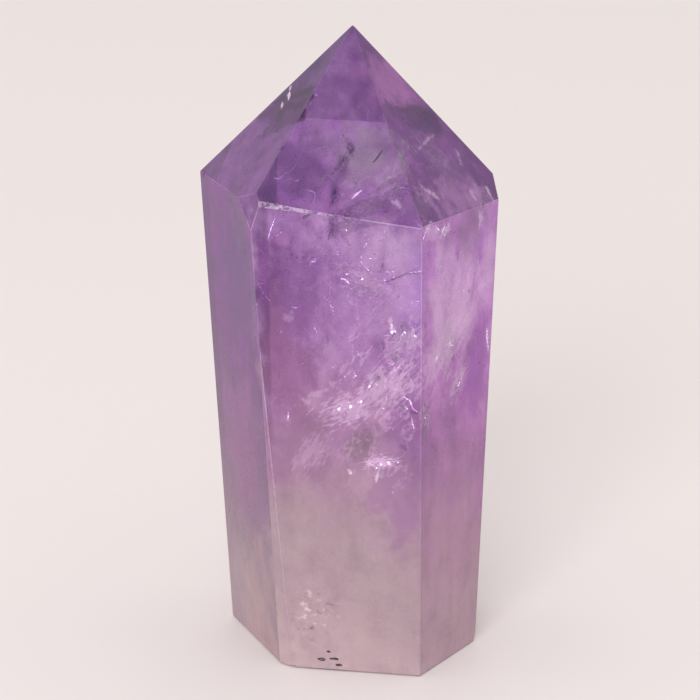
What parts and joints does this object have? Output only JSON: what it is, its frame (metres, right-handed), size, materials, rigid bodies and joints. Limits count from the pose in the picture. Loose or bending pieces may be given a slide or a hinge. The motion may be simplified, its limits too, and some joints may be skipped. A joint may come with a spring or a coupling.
{
  "type": "amethyst point",
  "caption": "Polished hexagonal amethyst point with a faceted tip, wider at the shoulder than at the base, standing upright on its flat sawn base.",
  "frame": {"origin": "middle of the box round the crystal, at the flat base that it stands on", "axes": "+Z from the base up to the point, -Y towards the wide front facet"},
  "size_m": [0.0342, 0.03, 0.0738],
  "materials": {
    "amethyst": "polished, see-through and hazy, violet above fading to milky greyish pink at the base"
  },
  "bodies": {
    "root": {"amethyst_point": "amethyst"}
  },
  "joints": []
}
